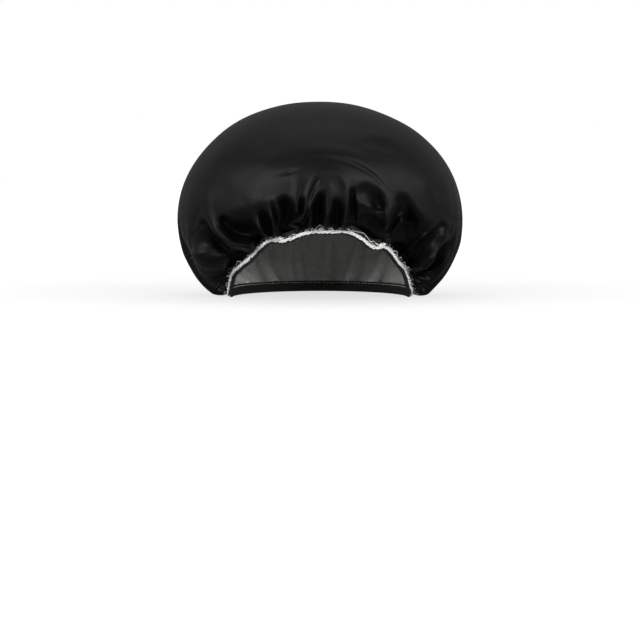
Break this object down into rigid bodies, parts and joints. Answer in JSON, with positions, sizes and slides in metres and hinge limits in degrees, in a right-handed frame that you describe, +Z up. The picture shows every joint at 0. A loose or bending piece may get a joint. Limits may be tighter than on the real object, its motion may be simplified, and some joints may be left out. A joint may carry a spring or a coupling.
{
  "type": "shower cap",
  "caption": "Puffed black satin shower cap with a waterproof lining, gathered into an elastic hem that is edged with white overlock thread.",
  "frame": {"origin": "on the plane that the cap stands on, under the middle of its bounding box", "axes": "+Z up to the crown, -Y to the forehead side where the hem is raised, +X to the wearer's left"},
  "size_m": [0.239, 0.2578, 0.164],
  "materials": {
    "satin": "black polyester satin, soft sheen",
    "film": "milky white waterproof film, matt",
    "hem_tape": "black woven tape, matt",
    "elastic": "white knitted elastic",
    "thread": "white spun thread, matt and slightly fuzzy"
  },
  "bodies": {
    "root": {"satin_shell": "satin", "waterproof_lining": "film", "hem_tape": "hem_tape", "elastic_band": "elastic", "overlock_edging": "thread", "hem_stitch_thread": "thread", "elastic_join_stitch": "thread"}
  },
  "joints": []
}
